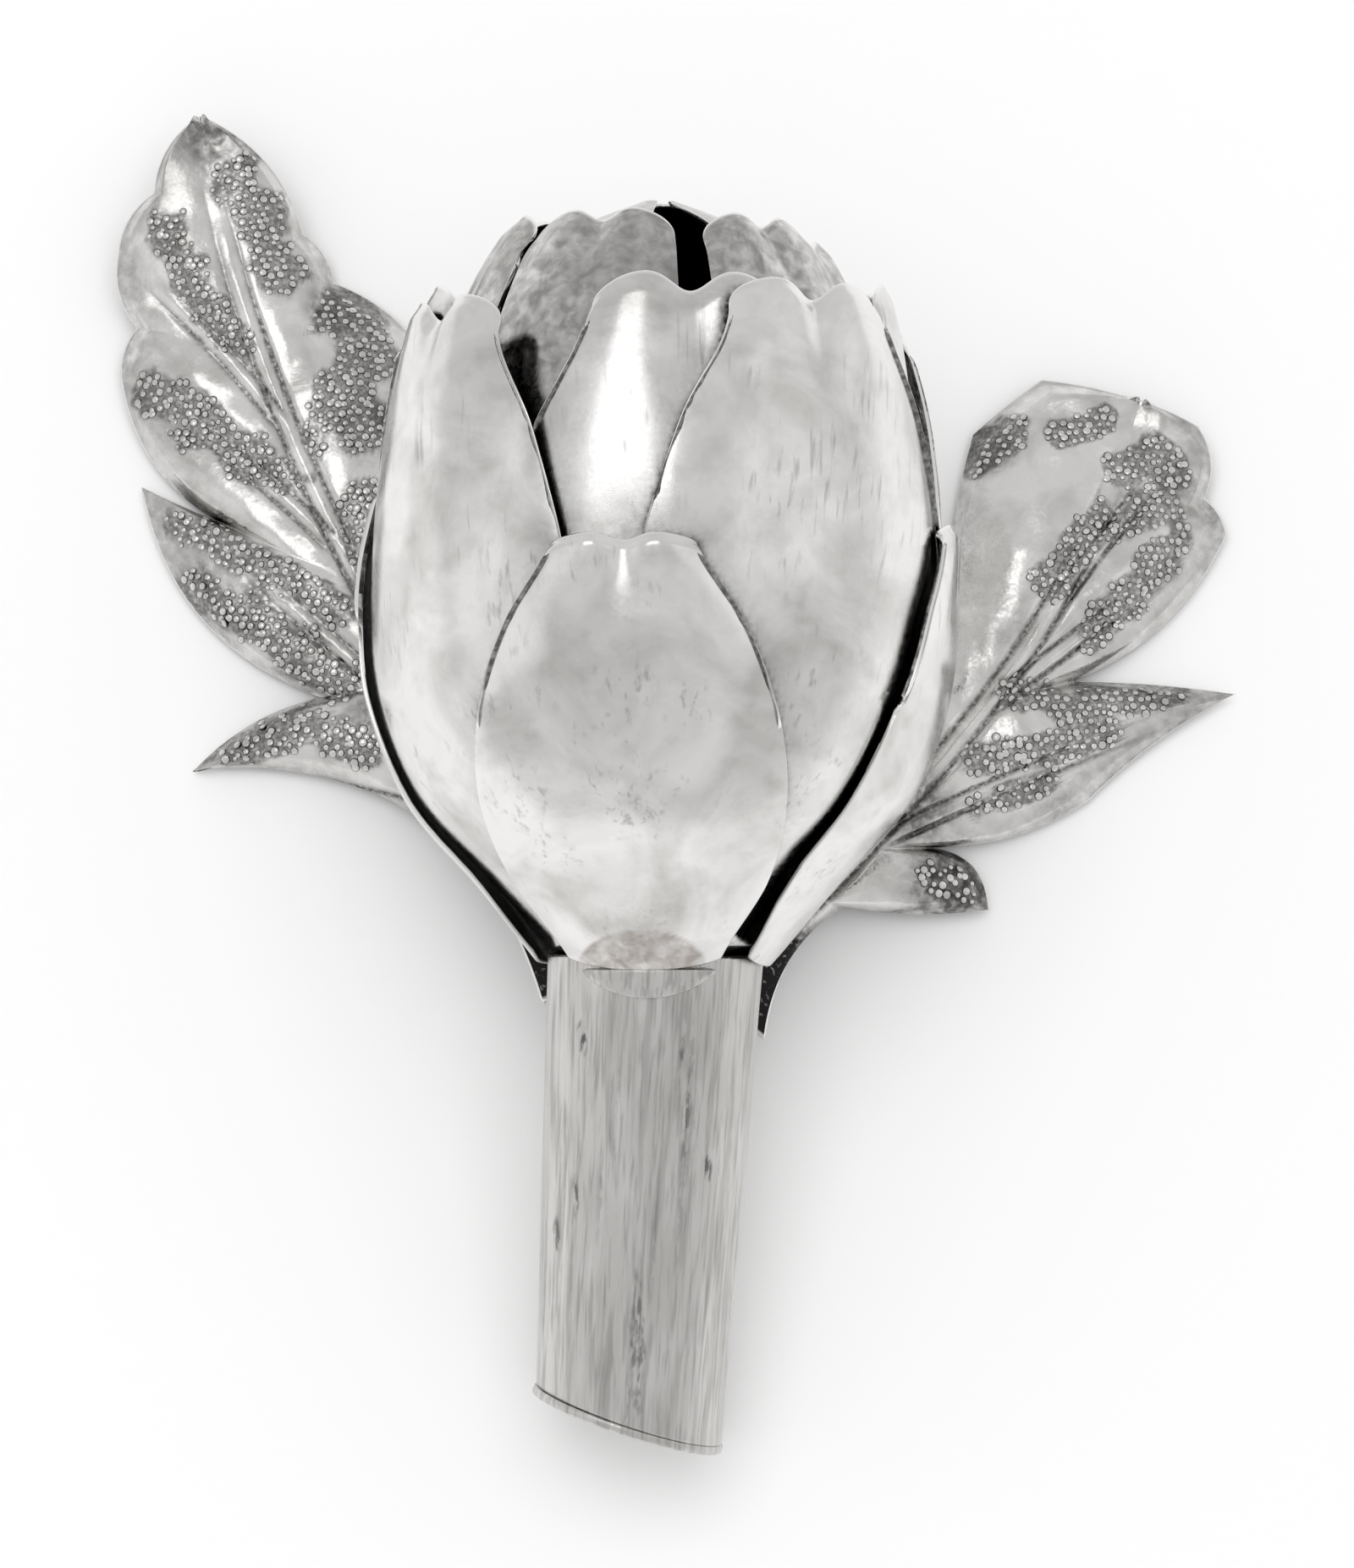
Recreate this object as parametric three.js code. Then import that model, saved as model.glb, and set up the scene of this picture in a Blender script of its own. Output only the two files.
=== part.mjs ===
// A life-size artichoke ornament of silver sheet, lying on its back on a table.
// Needs only the npm package three. Millimetres, +Z up, table top at z = 0.
//
// The ornament is drawn along its own axis first: x to the right, y away from the front,
// z from the foot of the bulb to the crown. One group then lays it down on its back.

import * as THREE from 'three';

// ---- Driving dimensions ------------------------------------------------------------------

const SHEET = 0.7; // thickness of the silver sheet
const JOINT = 0.3; // clearance that stands for a soldered joint

const LIE_BACK = 15.7; // degrees between the ornament's axis and the table
const TABLE_DEPTH = 34.7; // from the axis to the table, at the foot of the bulb

const STEM_LEAN = 0.058; // sideways lean of the stem's axis, mm per mm of height
const BULB_LEAN = 0.004; // and of the bulb's axis

const STEM_TOP_RADIUS = 16.6;
const STEM_END_RADIUS = 14.5;
const STEM_WALL = 1;
const STEM_TOP = -0.2; // height of the stem's top edge
const STEM_END = -70.8; // height at which the slanted end crosses the axis
const STEM_END_SLANT = 18; // degrees
const END_PLATE = 1.2; // thickness of the plate that closes the stem
const END_PLATE_EDGE = 0.3; // its rounded edge
const STEM_SIDES = 36;

const RECEPTACLE_RADIUS = 14.8;
const RECEPTACLE_HEIGHT = 3.2;
const FILLET_HALF_ANGLE = 34; // degrees either side of the front
const FILLET_TOP = -2.5;
const FILLET_DROP = 3.2;
const FILLET_THICKNESS = 0.9;

const BUD_ROWS = 9;
const BUD_SIDES = 18;
const BRACT_COLUMNS = 8;
const BRACT_ROWS = 9;
const LEAF_COLUMNS = 8;
const LEAF_ROWS_PER_REACH = 45;

const POLISHED_SILVER = { color: 0xd9d7d2, roughness: 0.22, metalness: 1 };
const SATIN_SILVER = { color: 0xcfcbc4, roughness: 0.38, metalness: 1 };
const OXIDISED_SILVER = { color: 0x8b8882, roughness: 0.45, metalness: 1 };

// Radius and height of the outer face of each whorl, from foot to tip.
const OUTER_PROFILE = [[17.8, -2], [27.8, 10], [39, 23], [45, 38], [46.4, 52], [46, 64], [44.5, 75]];
const SECOND_PROFILE = [
  [14.6, -0.6], [25, 10.5], [36.6, 23.5], [42.6, 38], [44, 52], [43.7, 66], [42.4, 79], [40.6, 90], [37.8, 101],
];
const THIRD_PROFILE = [
  [12.2, -0.6], [22.4, 11], [34, 24], [40.2, 38.5], [41.6, 52.5], [41.2, 66], [39.8, 79], [37.4, 92], [34, 105],
];
const FOURTH_PROFILE = [
  [9.8, -0.6], [19.8, 11.5], [31.4, 24.5], [37.6, 39], [39, 53], [38.5, 67], [36.2, 80], [32.6, 92.5], [27.4, 104],
  [20.5, 114.5],
];
const CROWN_PROFILE = [
  [7.4, -0.6], [17.2, 12], [28.8, 25], [35, 39.5], [36.4, 53.5], [35.7, 67], [32.6, 80], [27.4, 92], [21, 102.5],
  [13.2, 110.5], [2.4, 115.2],
];
const BUD_PROFILE = [
  [4, -0.6], [12.5, 12.5], [23.5, 25.5], [29.5, 40], [31, 54], [30, 67], [26, 78], [18, 87], [7, 91.5],
];

const NOTCH_WIDTH = 0.27; // of the notch in a bract's tip, as a share of its half width

// Half the width of a bract, as a share of its greatest half width, from foot to tip.
const BRACT_WIDTHS = [0.5, 0.85, 1, 0.95, 0.74, 0.45];

const WHORLS = [
  {
    name: 'outer_bract', profile: OUTER_PROFILE, halfWidth: 24.6, notch: 1.7, shoulder: 2.6, foot: 3,
    bracts: [
      { name: 'front', azimuth: -6, limit: 46, reach: 0.805 },
      { name: 'right', azimuth: 85, limit: 40, reach: 0.85 },
      { name: 'back', azimuth: 165, limit: 33, reach: 0.85 },
      { name: 'left', azimuth: -116, limit: 40, reach: 0.97 },
    ],
  },
  {
    name: 'second_bract', profile: SECOND_PROFILE, halfWidth: 33, notch: 4.8, shoulder: 6.5, foot: 0,
    bracts: [
      { name: 'front_right', azimuth: 37.5, limit: 41, reach: 0.985 },
      { name: 'back_right', azimuth: 121, limit: 41, reach: 0.97 },
      { name: 'back_left', azimuth: -147, limit: 41, reach: 0.98 },
      { name: 'front_left', azimuth: -58, limit: 41, reach: 0.965 },
    ],
  },
  {
    name: 'third_bract', profile: THIRD_PROFILE, halfWidth: 34, notch: 3.8, shoulder: 6.5, foot: 0,
    bracts: [
      { name: 'front', azimuth: 8, limit: 41, reach: 0.955 },
      { name: 'right', azimuth: 96, limit: 41, reach: 0.97 },
      { name: 'back', azimuth: 184, limit: 41, reach: 0.98 },
      { name: 'left', azimuth: -84, limit: 41, reach: 0.96 },
    ],
  },
  {
    name: 'fourth_bract', profile: FOURTH_PROFILE, halfWidth: 28, notch: 3, shoulder: 6, foot: 0,
    bracts: [
      { name: 'front_left', azimuth: -22, limit: 28, reach: 0.965 },
      { name: 'front_right', azimuth: 43, limit: 27, reach: 0.96 },
      { name: 'right', azimuth: 97, limit: 26, reach: 0.94 },
      { name: 'back_right', azimuth: 155, limit: 30, reach: 0.97 },
      { name: 'back_left', azimuth: -137, limit: 31, reach: 0.99 },
      { name: 'left', azimuth: -78, limit: 25, reach: 0.97 },
    ],
  },
  {
    name: 'crown_bract', profile: CROWN_PROFILE, halfWidth: 60, notch: 0, shoulder: 1, foot: 0,
    bracts: [
      { name: 'left', azimuth: -48, limit: 43, reach: 1 },
      { name: 'right', azimuth: 79, limit: 41, reach: 1 },
      { name: 'back', azimuth: 194, limit: 70, reach: 1 },
    ],
  },
];

// A leaf lies along its midrib, which is a cubic curve from root to tip, in x and z.
// Each edge runs from root to tip through its lobe tips and notches. Each point there gives
// x, z, the bulge of the edge that leads to it, and where its vein leaves the midrib (0 to 1).
// Lift is the height of the midrib over the table, and of the edge, at that share of the length.
const LEFT_LEAF = {
  name: 'left_leaf',
  midrib: [[-12.3, -6], [-25, 24], [-65, 71], [-76.5, 137]],
  rootHalfWidth: 6,
  left: [
    { x: -43, z: 23, bulge: -0.1, foot: 0.25 },
    { x: -75.5, z: 28, bulge: -0.07, foot: 0.39 },
    { x: -55, z: 40, bulge: 0.08, foot: 0.43 },
    { x: -85.5, z: 75, bulge: 0.14, foot: 0.505 },
    { x: -72.5, z: 69, bulge: 0, foot: 0.54 },
    { x: -89.5, z: 94, bulge: 0.12, foot: 0.74 },
    { x: -87, z: 102, bulge: 0.1, foot: 0.78 },
    { x: -90, z: 114, bulge: 0.12, foot: 0.87 },
    { x: -84, z: 124.5, bulge: 0.12, foot: 0.92 },
  ],
  right: [
    { x: -36, z: 91, bulge: -0.03, foot: 0.62 },
    { x: -54.5, z: 110, bulge: 0.12, foot: 0.74 },
    { x: -59.5, z: 118, bulge: 0.12, foot: 0.82 },
  ],
  tipBulge: 0.12,
  midribLift: [15.5, 7.5, 8, 9, 12.5],
  edgeLift: [15.5, 2, 0.2, 1.5, 12.5],
};
const RIGHT_LEAF = {
  name: 'right_leaf',
  midrib: [[10.5, -9], [28, 14], [64, 38], [80, 89]],
  rootHalfWidth: 8,
  left: [
    { x: 49, z: 68, bulge: 0.01, foot: 0.6 },
    { x: 52.5, z: 84, bulge: 0.02, foot: 0.72 },
    { x: 64, z: 93, bulge: 0.02, foot: 0.86 },
  ],
  right: [
    { x: 30, z: 6, bulge: -0.12, foot: 0.23 },
    { x: 53.5, z: 5.5, bulge: 0.04, foot: 0.28 },
    { x: 44, z: 15.5, bulge: 0.22, foot: 0.335 },
    { x: 70, z: 23, bulge: 0.08, foot: 0.42 },
    { x: 94.5, z: 40.5, bulge: -0.04, foot: 0.5 },
    { x: 68, z: 42.5, bulge: 0.02, foot: 0.6 },
    { x: 94, z: 67, bulge: 0.1, foot: 0.74 },
    { x: 90.5, z: 73, bulge: 0.1, foot: 0.79 },
    { x: 89.5, z: 85, bulge: 0.14, foot: 0.9 },
  ],
  tipBulge: 0.03,
  midribLift: [15.5, 7.5, 8, 9, 6],
  edgeLift: [15.5, 2, 0.2, 1, 6],
};

// ---- Small helpers -----------------------------------------------------------------------

const radians = THREE.MathUtils.degToRad;

// Smooth value through evenly spaced knots, at a share t of the way along.
function through(knots, t) {
  const curve = new THREE.SplineCurve(knots.map((value, i) => new THREE.Vector2(i, value)));
  return curve.getPoint(THREE.MathUtils.clamp(t, 0, 1)).y;
}

function axisX(height) {
  return (height < 0 ? STEM_LEAN : BULB_LEAN) * height;
}

// A point at this radius, azimuth (degrees, 0 at the front) and height around the leaning axis.
function around(radius, azimuth, height) {
  const angle = radians(azimuth);
  return new THREE.Vector3(axisX(height) + radius * Math.sin(angle), -radius * Math.cos(angle), height);
}

function tableDepth(height) {
  return TABLE_DEPTH + Math.tan(radians(LIE_BACK)) * height;
}

function silver(finish) {
  return new THREE.MeshStandardMaterial({ ...finish, side: THREE.DoubleSide });
}

function signedVolume(points, triangles) {
  const cross = new THREE.Vector3();
  return triangles.reduce((sum, [a, b, c]) => sum + points[a].dot(cross.crossVectors(points[b], points[c])), 0);
}

function solid(name, points, triangles, finish) {
  const faces = signedVolume(points, triangles) > 0 ? triangles : triangles.map(([a, b, c]) => [a, c, b]);
  const geometry = new THREE.BufferGeometry();
  geometry.setAttribute('position', new THREE.Float32BufferAttribute(points.flatMap((p) => p.toArray()), 3));
  geometry.setIndex(faces.flat());
  geometry.computeVertexNormals();
  const mesh = new THREE.Mesh(geometry, silver(finish));
  mesh.name = name;
  return mesh;
}

// A closed sheet of metal from a grid of points on its front face. rows is a list of rows, and
// the back face lies one thickness behind the front one, on the side away from outward.
function sheet(name, rows, outward, finish, thickness = SHEET) {
  const across = rows[0].length;
  const front = rows.flat();
  const at = (row, column) => front[row * across + column];
  const back = front.map((point, index) => {
    const row = Math.floor(index / across);
    const column = index % across;
    const up = at(Math.min(row + 1, rows.length - 1), column).clone().sub(at(Math.max(row - 1, 0), column));
    const side = at(row, Math.min(column + 1, across - 1)).clone().sub(at(row, Math.max(column - 1, 0)));
    const normal = side.cross(up).normalize();
    if (normal.dot(outward(point)) < 0) normal.negate();
    return point.clone().addScaledVector(normal, -thickness);
  });
  const behind = front.length;
  const triangles = [];
  const quad = (a, b, c, d) => triangles.push([a, b, c], [a, c, d]);
  for (let row = 0; row + 1 < rows.length; row += 1) {
    for (let column = 0; column + 1 < across; column += 1) {
      const a = row * across + column;
      const b = a + across;
      quad(a, a + 1, b + 1, b);
      quad(behind + a, behind + b, behind + b + 1, behind + a + 1);
    }
  }
  const lastRow = (rows.length - 1) * across;
  for (let column = 0; column + 1 < across; column += 1) {
    quad(column, behind + column, behind + column + 1, column + 1);
    const top = lastRow + column;
    quad(top, top + 1, behind + top + 1, behind + top);
  }
  for (let row = 0; row + 1 < rows.length; row += 1) {
    const left = row * across;
    const right = left + across - 1;
    quad(left, left + across, behind + left + across, behind + left);
    quad(right, behind + right, behind + right + across, right + across);
  }
  return solid(name, [...front, ...back], triangles, finish);
}

// ---- Bracts ------------------------------------------------------------------------------

function bract(whorl, { name, azimuth, limit, reach }) {
  const profile = new THREE.SplineCurve(whorl.profile.map(([radius, height]) => new THREE.Vector2(radius, height)));
  const length = profile.getLength();
  const rows = [];
  for (let row = 0; row <= BRACT_ROWS; row += 1) {
    const v = row / BRACT_ROWS;
    const points = [];
    for (let column = 0; column <= BRACT_COLUMNS; column += 1) {
      const u = Math.sin(Math.PI * (column / BRACT_COLUMNS - 0.5));
      const notch = whorl.notch * Math.exp(-((u / NOTCH_WIDTH) ** 2));
      const shoulder = whorl.shoulder * (1 - Math.sqrt(Math.max(0, 1 - u * u)));
      const low = (whorl.foot * u * u) / length;
      const high = reach - (notch + shoulder) / length;
      const { x: radius, y: height } = profile.getPoint(low + v * (high - low));
      const width = whorl.halfWidth * through(BRACT_WIDTHS, v);
      const halfAngle = Math.min(THREE.MathUtils.radToDeg(width / radius), limit);
      points.push(around(radius, azimuth + u * halfAngle, height));
    }
    rows.push(points);
  }
  const outward = (point) => new THREE.Vector3(point.x - axisX(point.z), point.y, 0);
  return sheet(`${whorl.name}_${name}`, rows, outward, POLISHED_SILVER);
}

function bracts() {
  const group = new THREE.Group();
  WHORLS.forEach((whorl) => whorl.bracts.forEach((one) => group.add(bract(whorl, one))));
  return group;
}

// ---- Leaves ------------------------------------------------------------------------------

// One edge of a leaf as a function of the share of the midrib's length, in x and z.
function leafEdge(corners, side) {
  return (share) => {
    const next = Math.max(1, corners.findIndex((corner) => corner.foot >= share - 1e-9));
    const from = corners[next - 1];
    const to = corners[next];
    const chord = new THREE.Vector2(to.x - from.x, to.z - from.z);
    const swell = new THREE.Vector2(chord.y, -chord.x).multiplyScalar(2 * to.bulge * side);
    const middle = new THREE.Vector2((from.x + to.x) / 2, (from.z + to.z) / 2).add(swell);
    const arc = new THREE.QuadraticBezierCurve(
      new THREE.Vector2(from.x, from.z), middle, new THREE.Vector2(to.x, to.z),
    );
    return arc.getPoint((share - from.foot) / (to.foot - from.foot));
  };
}

// Shares of the midrib at which a row is drawn: every vein, and even steps between them.
function leafShares(leaf) {
  const feet = [0, ...leaf.left.map((stop) => stop.foot), ...leaf.right.map((stop) => stop.foot), 1];
  const stops = [...new Set(feet)].sort((a, b) => a - b);
  const shares = [0];
  for (let i = 1; i < stops.length; i += 1) {
    const steps = Math.max(1, Math.round((stops[i] - stops[i - 1]) * LEAF_ROWS_PER_REACH));
    for (let k = 1; k <= steps; k += 1) {
      shares.push(stops[i - 1] + ((stops[i] - stops[i - 1]) * k) / steps);
    }
  }
  return shares;
}

function leaf(plan) {
  const midrib = new THREE.CubicBezierCurve(...plan.midrib.map(([x, z]) => new THREE.Vector2(x, z)));
  const beside = (share, gap) => {
    const place = midrib.getPoint(share);
    const along = midrib.getTangent(share);
    return { x: place.x + along.y * gap, z: place.y - along.x * gap, foot: share, bulge: plan.tipBulge };
  };
  const edges = [
    leafEdge([beside(0, -plan.rootHalfWidth), ...plan.left, beside(1, -SHEET)], -1),
    leafEdge([beside(0, plan.rootHalfWidth), ...plan.right, beside(1, SHEET)], 1),
  ];
  const rows = leafShares(plan).map((share) => {
    const middle = midrib.getPoint(share);
    const points = [];
    for (let column = 0; column <= LEAF_COLUMNS; column += 1) {
      const across = (2 * column) / LEAF_COLUMNS - 1;
      const edge = edges[across < 0 ? 0 : 1](share);
      const place = middle.clone().lerp(edge, Math.abs(across));
      const lift = THREE.MathUtils.lerp(
        through(plan.midribLift, share), through(plan.edgeLift, share), across * across,
      );
      points.push(new THREE.Vector3(place.x, tableDepth(place.y) - lift - SHEET - JOINT, place.y));
    }
    return points;
  });
  return sheet(plan.name, rows, () => new THREE.Vector3(0, -1, 0), POLISHED_SILVER);
}

// ---- Stem, receptacle and bud ------------------------------------------------------------

function stemEndHeight(x) {
  return STEM_END - Math.tan(radians(STEM_END_SLANT)) * (x - axisX(STEM_END));
}

// A tube whose lower end lies in the slanted plane of the end plate.
function stemTube() {
  const radii = [1, 0.97, 0.94, 0.91, 0.88];
  const points = [];
  const triangles = [];
  const ring = 2 * radii.length;
  for (let side = 0; side < STEM_SIDES; side += 1) {
    const azimuth = (360 * side) / STEM_SIDES;
    const wall = (inset) => radii.map((unused, i) => {
      const share = i / (radii.length - 1);
      const radius = THREE.MathUtils.lerp(STEM_TOP_RADIUS, STEM_END_RADIUS, share) - inset;
      const lowest = stemEndHeight(around(radius, azimuth, STEM_END).x);
      return around(radius, azimuth, THREE.MathUtils.lerp(STEM_TOP, lowest, share));
    });
    points.push(...wall(0), ...wall(STEM_WALL).reverse());
    for (let k = 0; k < ring; k += 1) {
      const a = side * ring + k;
      const b = side * ring + ((k + 1) % ring);
      const c = ((side + 1) % STEM_SIDES) * ring + ((k + 1) % ring);
      const d = ((side + 1) % STEM_SIDES) * ring + k;
      triangles.push([a, b, c], [a, c, d]);
    }
  }
  return solid('stem_tube', points, triangles, SATIN_SILVER);
}

function turned(name, outline, finish, sides = STEM_SIDES) {
  const geometry = new THREE.LatheGeometry(outline.map(([radius, height]) => new THREE.Vector2(radius, height)), sides);
  geometry.rotateX(Math.PI / 2);
  const mesh = new THREE.Mesh(geometry, silver(finish));
  mesh.name = name;
  return mesh;
}

function stemEndPlate() {
  const radius = STEM_END_RADIUS;
  const plate = turned('stem_end_plate', [
    [0, -END_PLATE],
    [radius - END_PLATE_EDGE, -END_PLATE],
    [radius, -END_PLATE + END_PLATE_EDGE],
    [radius, -END_PLATE_EDGE],
    [radius - END_PLATE_EDGE, 0],
    [0, 0],
  ], SATIN_SILVER);
  plate.geometry.scale(1 / Math.cos(radians(STEM_END_SLANT)), 1, 1);
  plate.rotation.y = radians(STEM_END_SLANT);
  plate.position.set(axisX(STEM_END), 0, STEM_END - JOINT / Math.cos(radians(STEM_END_SLANT)));
  return plate;
}

function receptacle() {
  const foot = -0.9 - JOINT;
  return turned('receptacle', [
    [0, foot - RECEPTACLE_HEIGHT],
    [RECEPTACLE_RADIUS - 1, foot - RECEPTACLE_HEIGHT],
    [RECEPTACLE_RADIUS, foot - RECEPTACLE_HEIGHT + 1],
    [RECEPTACLE_RADIUS, foot],
    [0, foot],
  ], SATIN_SILVER);
}

function innerBud() {
  const outer = new THREE.SplineCurve(BUD_PROFILE.map(([radius, height]) => new THREE.Vector2(radius, height)));
  const wall = outer.getPoints(BUD_ROWS);
  const outside = wall.map((point) => [point.x, point.y]);
  const inside = wall.map((point) => [point.x - SHEET, point.y - SHEET / 2]);
  inside[0][1] = outside[0][1];
  const top = outside[outside.length - 1][1] + SHEET;
  const outline = [...outside, [0, top], [0, top - 1.5 * SHEET], ...inside.reverse(), outside[0]];
  return turned('inner_bud', outline, OXIDISED_SILVER, BUD_SIDES);
}

function solderFillet() {
  const rows = [];
  for (let row = 0; row <= 3; row += 1) {
    const v = row / 3;
    const points = [];
    for (let column = 0; column <= BRACT_COLUMNS; column += 1) {
      const u = (2 * column) / BRACT_COLUMNS - 1;
      const drop = 0.4 + FILLET_DROP * (1 - u * u);
      const radius = STEM_TOP_RADIUS + JOINT + FILLET_THICKNESS;
      points.push(around(radius, -3 + u * FILLET_HALF_ANGLE, FILLET_TOP - drop * (1 - v)));
    }
    rows.push(points);
  }
  const outward = (point) => new THREE.Vector3(point.x - axisX(point.z), point.y, 0);
  return sheet('solder_fillet', rows, outward, SATIN_SILVER, FILLET_THICKNESS);
}

// ---- The ornament ------------------------------------------------------------------------

const upright = new THREE.Group();
upright.add(stemTube(), stemEndPlate(), receptacle(), innerBud(), solderFillet());
upright.add(bracts());
upright.add(leaf(LEFT_LEAF), leaf(RIGHT_LEAF));
upright.rotation.x = radians(LIE_BACK - 90);

const artichoke = new THREE.Group();
artichoke.add(upright);

// The origin is under the middle of the ornament, on the table.
const box = new THREE.Box3().setFromObject(artichoke, true);
const middle = box.getCenter(new THREE.Vector3());
upright.position.set(-middle.x, -middle.y, -box.min.z);

export default artichoke;
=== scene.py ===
"""The looks of a silver artichoke ornament that lies on its back on a pale table.

Shapes are worked out in millimetres along the ornament's own axis (x to the right, y away
from the front, z from the foot of the bulb to the crown), then laid down into the frame.
"""

import math

import bmesh
import bpy
import numpy as np
from mathutils import Matrix, Vector
from mathutils.kdtree import KDTree


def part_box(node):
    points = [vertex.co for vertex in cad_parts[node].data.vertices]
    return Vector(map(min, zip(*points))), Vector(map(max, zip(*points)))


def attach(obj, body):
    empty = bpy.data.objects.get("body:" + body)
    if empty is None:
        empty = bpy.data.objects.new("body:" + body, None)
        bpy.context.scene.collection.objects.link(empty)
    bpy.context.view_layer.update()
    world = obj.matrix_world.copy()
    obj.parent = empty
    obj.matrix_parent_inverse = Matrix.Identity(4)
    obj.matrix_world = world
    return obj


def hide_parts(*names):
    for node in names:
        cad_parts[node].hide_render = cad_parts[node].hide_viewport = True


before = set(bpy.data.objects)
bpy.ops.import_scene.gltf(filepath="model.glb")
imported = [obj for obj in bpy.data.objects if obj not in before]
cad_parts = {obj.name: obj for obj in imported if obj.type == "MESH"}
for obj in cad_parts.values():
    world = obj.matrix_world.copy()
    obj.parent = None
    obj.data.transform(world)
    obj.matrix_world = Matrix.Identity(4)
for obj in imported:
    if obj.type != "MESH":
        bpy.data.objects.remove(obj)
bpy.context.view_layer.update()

# ---- Driving dimensions, in millimetres and degrees ----------------------------------------

SHEET = 0.7
JOINT = 0.3
LIE_BACK = 15.7
TABLE_DEPTH = 34.7
STEM_LEAN = 0.058
BULB_LEAN = 0.004

# What the camera aims at, and how small the leaves seem about it, since they lie behind the axis.
AIM_X = 3.25
AIM_HEIGHT = 25.8
LEAF_SEEMS = 0.956

STEM_TOP_RADIUS = 16.6
STEM_END_RADIUS = 14.5
STEM_WALL = 1.0
STEM_TOP = -0.2
STEM_END = -70.8
STEM_END_SLANT = 18.0
END_PLATE = 1.2
PLATE_GAP = 0.05
RECEPTACLE_RADIUS = 14.8
RECEPTACLE_HEIGHT = 3.2
RECEPTACLE_TOP = -1.2
FILLET_AZIMUTH = -3
FILLET_HALF_ANGLE = 34.0
FILLET_TOP = -2.5
FILLET_DROP = 3.2
FILLET_THICKNESS = 0.9
FILLET_RISE = 0.35

OUTER_PROFILE = [(17.8, -2), (27.8, 10), (39, 23), (45, 38), (46.4, 52), (46, 64), (44.5, 75)]
SECOND_PROFILE = [
    (14.6, -0.6), (25, 10.5), (36.6, 23.5), (42.6, 38), (44, 52), (43.7, 66), (42.4, 79), (40.6, 90),
    (37.8, 101),
]
THIRD_PROFILE = [
    (12.2, -0.6), (22.4, 11), (34, 24), (40.2, 38.5), (41.6, 52.5), (41.2, 66), (39.8, 79),
    (37.4, 92), (34, 105),
]
FOURTH_PROFILE = [
    (9.8, -0.6), (19.8, 11.5), (31.4, 24.5), (37.6, 39), (39, 53), (38.5, 67), (36.2, 80),
    (32.6, 92.5), (27.4, 104), (20.5, 114.5),
]
CROWN_PROFILE = [
    (7.4, -0.6), (17.2, 12), (28.8, 25), (35, 39.5), (36.4, 53.5), (35.7, 67), (32.6, 80),
    (27.4, 92), (21, 102.5), (13.2, 110.5), (2.4, 115.2),
]
BUD_PROFILE = [
    (4, -0.6), (12.5, 12.5), (23.5, 25.5), (29.5, 40), (31, 54), (30, 67), (26, 78), (18, 87),
    (7, 91.5),
]
BRACT_WIDTHS = [0.5, 0.85, 1, 0.95, 0.74, 0.45]

WHORLS = [
    dict(
        name="outer_bract", profile=OUTER_PROFILE, half_width=24.6, notch=1.7, shoulder=2.6, foot=3,
        bracts=[
            dict(name="front", azimuth=-6, limit=46, reach=0.805),
            dict(name="right", azimuth=85, limit=40, reach=0.85),
            dict(name="back", azimuth=165, limit=33, reach=0.85),
            dict(name="left", azimuth=-116, limit=40, reach=0.97),
        ],
    ),
    dict(
        name="second_bract", profile=SECOND_PROFILE, half_width=33, notch=4.8, shoulder=6.5, foot=0,
        bracts=[
            dict(name="front_right", azimuth=37.5, limit=41, reach=0.985),
            dict(name="back_right", azimuth=121, limit=41, reach=0.97),
            dict(name="back_left", azimuth=-147, limit=41, reach=0.98),
            dict(name="front_left", azimuth=-58, limit=41, reach=0.965),
        ],
    ),
    dict(
        name="third_bract", profile=THIRD_PROFILE, half_width=34, notch=3.8, shoulder=6.5, foot=0,
        bracts=[
            dict(name="front", azimuth=8, limit=41, reach=0.955),
            dict(name="right", azimuth=96, limit=41, reach=0.97),
            dict(name="back", azimuth=184, limit=41, reach=0.98),
            dict(name="left", azimuth=-84, limit=41, reach=0.96),
        ],
    ),
    dict(
        name="fourth_bract", profile=FOURTH_PROFILE, half_width=28, notch=3, shoulder=6, foot=0,
        bracts=[
            dict(name="front_left", azimuth=-22, limit=28, reach=0.965),
            dict(name="front_right", azimuth=43, limit=27, reach=0.96),
            dict(name="right", azimuth=97, limit=26, reach=0.94),
            dict(name="back_right", azimuth=155, limit=30, reach=0.97),
            dict(name="back_left", azimuth=-137, limit=31, reach=0.99),
            dict(name="left", azimuth=-78, limit=25, reach=0.97),
        ],
    ),
    dict(
        name="crown_bract", profile=CROWN_PROFILE, half_width=60, notch=0, shoulder=1, foot=0,
        bracts=[
            dict(name="left", azimuth=-48, limit=43, reach=1),
            dict(name="right", azimuth=79, limit=41, reach=1),
            dict(name="back", azimuth=194, limit=70, reach=1),
        ],
    ),
]

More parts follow.
